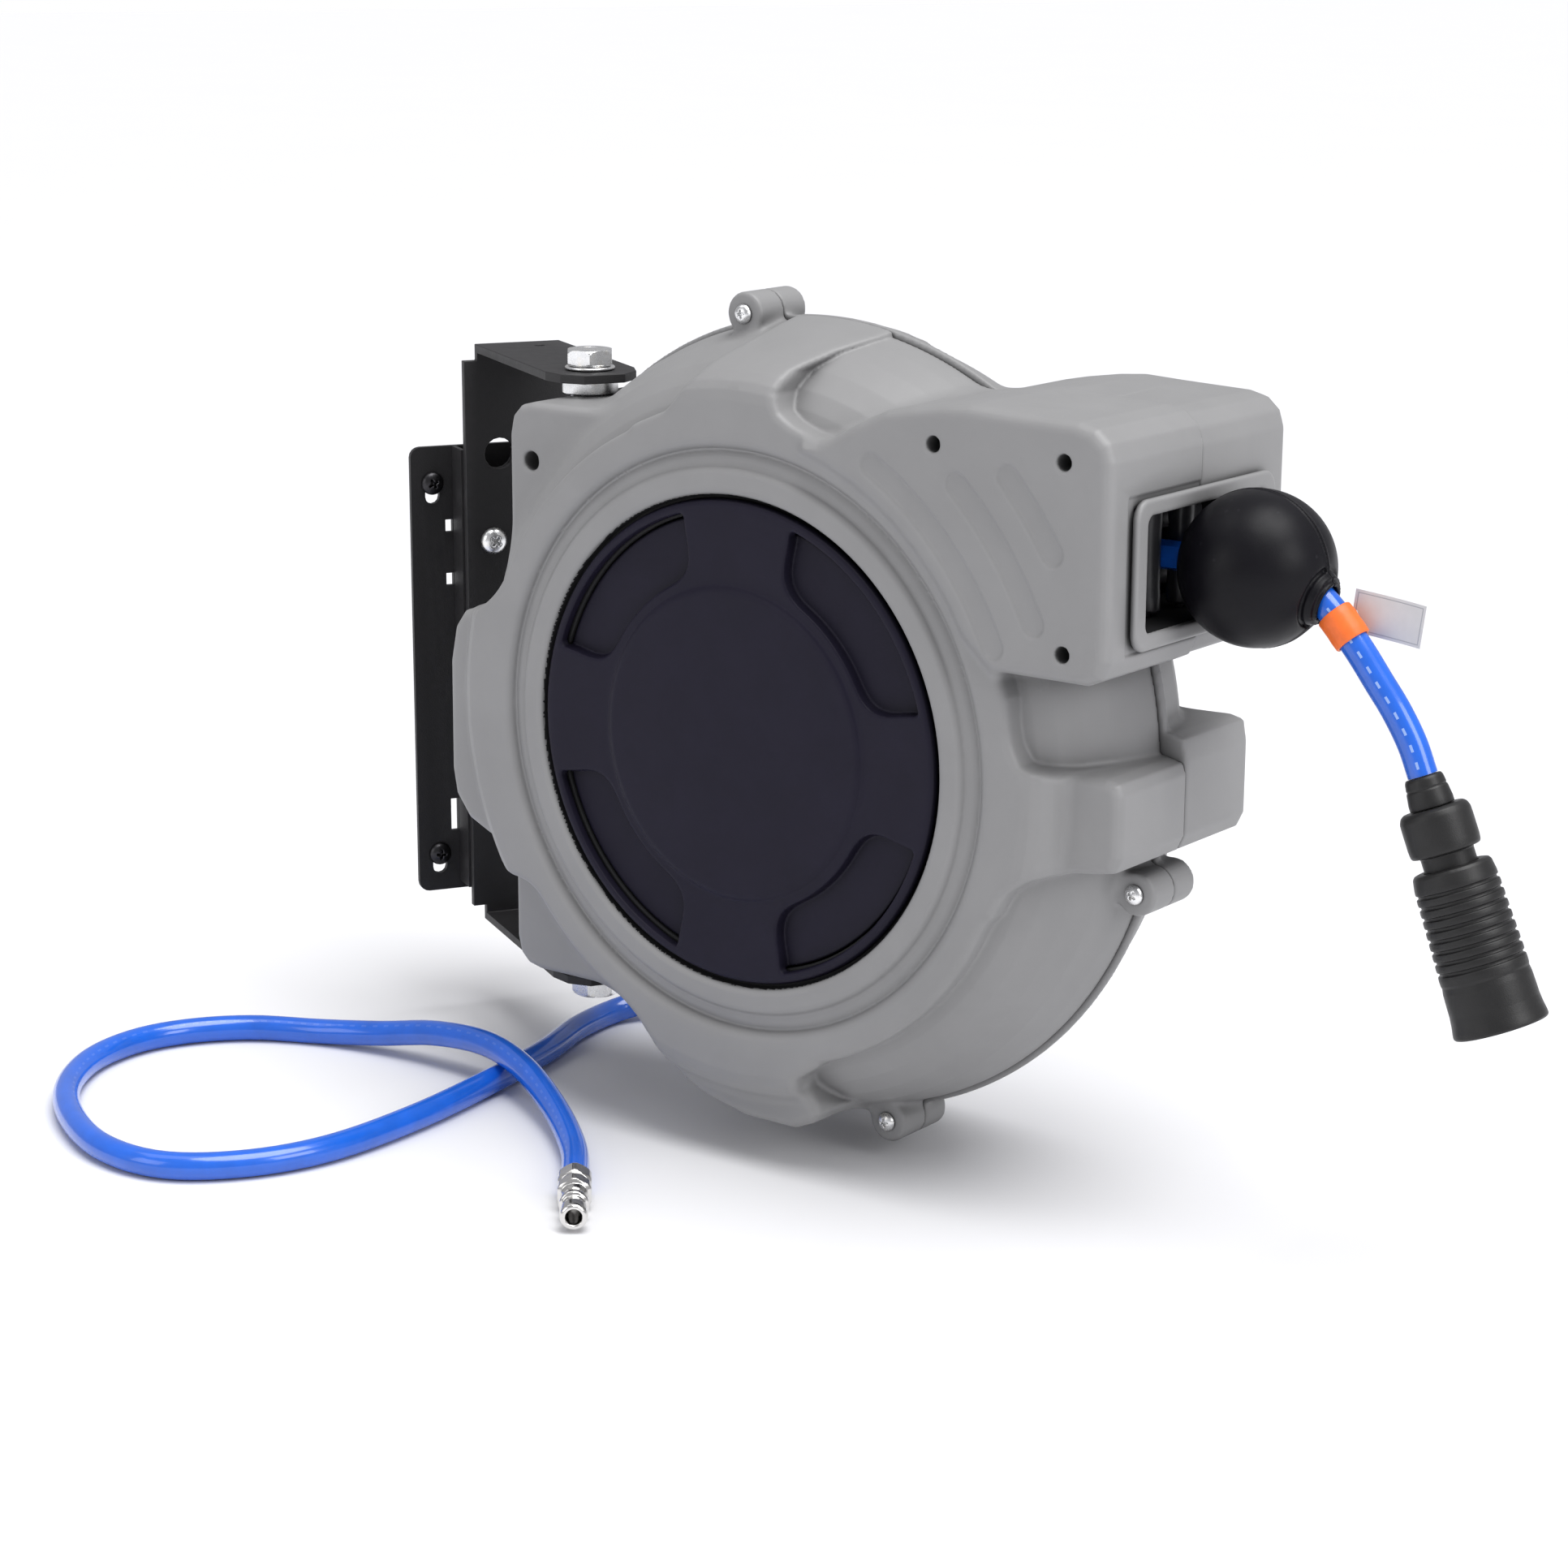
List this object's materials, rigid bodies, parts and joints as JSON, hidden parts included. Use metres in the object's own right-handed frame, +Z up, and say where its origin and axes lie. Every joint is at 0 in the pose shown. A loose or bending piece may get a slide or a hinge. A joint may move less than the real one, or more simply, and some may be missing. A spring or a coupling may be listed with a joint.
{
  "type": "retractable air hose reel",
  "caption": "Wall-mounted retractable air-hose reel: swivel bracket, moulded two-shell casing, spring drum, ball stop, quick coupler, and a supply hose with plug.",
  "frame": {"origin": "middle of the wall plate's back face, where it lies on the wall", "axes": "+X out of the wall, +Y along the wall, +Z up; the reel is swivelled 30 degrees towards +Y at rest"},
  "size_m": [0.5356, 0.4975, 0.3716],
  "materials": {
    "casing_grey": "satin moulded plastic with a fine grain",
    "cover_navy": "satin dark navy moulded plastic",
    "bracket_black": "satin black powder coat",
    "zinc_plate": "bright zinc plating",
    "black_screw": "blackened steel",
    "ball_rubber": "satin black rubber",
    "hose_blue": "glossy translucent blue polyurethane",
    "band_orange": "matt orange shrink band",
    "tag_white": "blank white card",
    "coupler_black": "matt black ribbed rubber",
    "nickel": "bright nickel plating",
    "brass": "machined brass",
    "shaft_steel": "bright steel",
    "spring_steel": "blue tempered spring steel",
    "drum_plastic": "black moulded plastic",
    "roller_plastic": "light grey acetal"
  },
  "bodies": {
    "bracket": {"wall_plate": "bracket_black", "plate_channel": "bracket_black", "wall_screw_1": "black_screw", "wall_screw_2": "black_screw", "wall_screw_3": "black_screw", "wall_screw_4": "black_screw", "swivel_bracket": "bracket_black", "lock_screw": "zinc_plate", "pivot_bolt_top": "zinc_plate", "pivot_bolt_bottom": "zinc_plate", "bolt_washer_top": "zinc_plate", "bolt_washer_bottom": "zinc_plate", "spacer_washer_top": "zinc_plate", "spacer_washer_bottom": "zinc_plate"},
    "casing": {"front_shell": "casing_grey", "rear_shell": "casing_grey", "front_cover": "cover_navy", "mouth_frame": "casing_grey", "casing_screw_1": "zinc_plate", "casing_screw_2": "zinc_plate", "casing_screw_3": "zinc_plate", "pivot_bush_top": "shaft_steel", "pivot_bush_bottom": "shaft_steel", "main_shaft": "brass", "shaft_nut": "nickel", "inlet_elbow": "nickel", "inlet_nut": "nickel", "inlet_hose": "hose_blue", "plug_nut": "nickel", "plug_nipple": "nickel", "pawl_pin": "shaft_steel", "pawl_spring": "spring_steel", "spring_arbor": "shaft_steel"},
    "drum": {"drum_hub": "drum_plastic", "drum_flange_front": "drum_plastic", "drum_flange_rear": "drum_plastic", "hose_coil": "hose_blue", "bush_front": "brass", "bush_rear": "brass", "ratchet_ring": "shaft_steel", "spring_case": "shaft_steel", "spring_lid": "shaft_steel", "mainspring": "spring_steel"},
    "pawl_arm": {"pawl": "shaft_steel"},
    "roller_l": {"guide_roller_left": "roller_plastic"},
    "roller_r": {"guide_roller_right": "roller_plastic"},
    "roller_u": {"guide_roller_upper": "roller_plastic"},
    "roller_d": {"guide_roller_lower": "roller_plastic"},
    "hose_end": {"hose_run": "hose_blue", "hose_tail": "hose_blue", "ball_half_front": "ball_rubber", "ball_half_rear": "ball_rubber", "ball_screw_upper": "zinc_plate", "ball_screw_lower": "zinc_plate", "marker_band": "band_orange", "hose_tag": "tag_white", "coupler_neck": "coupler_black", "coupler_collar": "coupler_black", "coupler_core": "nickel"},
    "coupler_sleeve": {"coupler_grip": "coupler_black"}
  },
  "joints": [
    {"name": "swivel", "type": "hinge", "parent": "bracket", "child": "casing", "pos_m": [0.122, 0, 0.018], "axis": [0, 0, 1], "range_deg": [-120, 50]},
    {"name": "hose_pull", "type": "slide", "parent": "casing", "child": "hose_end", "axis": [0.866, 0.5, 0], "range_m": [0, 0.09634], "stiffness_N_per_m": 40, "springref_m": -0.3},
    {"name": "drum_spin", "type": "hinge", "parent": "casing", "child": "drum", "pos_m": [0.2351, 0.0653, 0.018], "axis": [-0.5, 0.866, 0], "range_deg": [0, 61]},
    {"name": "roller_left_spin", "type": "hinge", "parent": "casing", "child": "roller_l", "pos_m": [0.38858, 0.13947, 0.11], "axis": [0, 0, 1], "continuous": true},
    {"name": "roller_right_spin", "type": "hinge", "parent": "casing", "child": "roller_r", "pos_m": [0.37608, 0.16112, 0.11], "axis": [0, 0, 1], "continuous": true},
    {"name": "roller_upper_spin", "type": "hinge", "parent": "casing", "child": "roller_u", "pos_m": [0.37064, 0.14355, 0.1215], "axis": [-0.5, 0.866, 0], "continuous": true},
    {"name": "roller_lower_spin", "type": "hinge", "parent": "casing", "child": "roller_d", "pos_m": [0.37064, 0.14355, 0.0985], "axis": [-0.5, 0.866, 0], "continuous": true},
    {"name": "pawl_swing", "type": "hinge", "parent": "casing", "child": "pawl_arm", "pos_m": [0.23797, 0.12354, 0.1018], "axis": [-0.5, 0.866, 0], "range_deg": [0, 12], "stiffness_Nm_per_rad": 0.02, "springref_deg": -17.19},
    {"name": "coupler_slide", "type": "slide", "parent": "hose_end", "child": "coupler_sleeve", "axis": [-0.3301, -0.1906, 0.9245], "range_m": [0, 0.005], "stiffness_N_per_m": 600, "springref_m": -0.002}
  ],
  "couplings": [
    {"joint": "drum_spin", "follows": "hose_pull", "rad_per_m": 10.87}
  ]
}
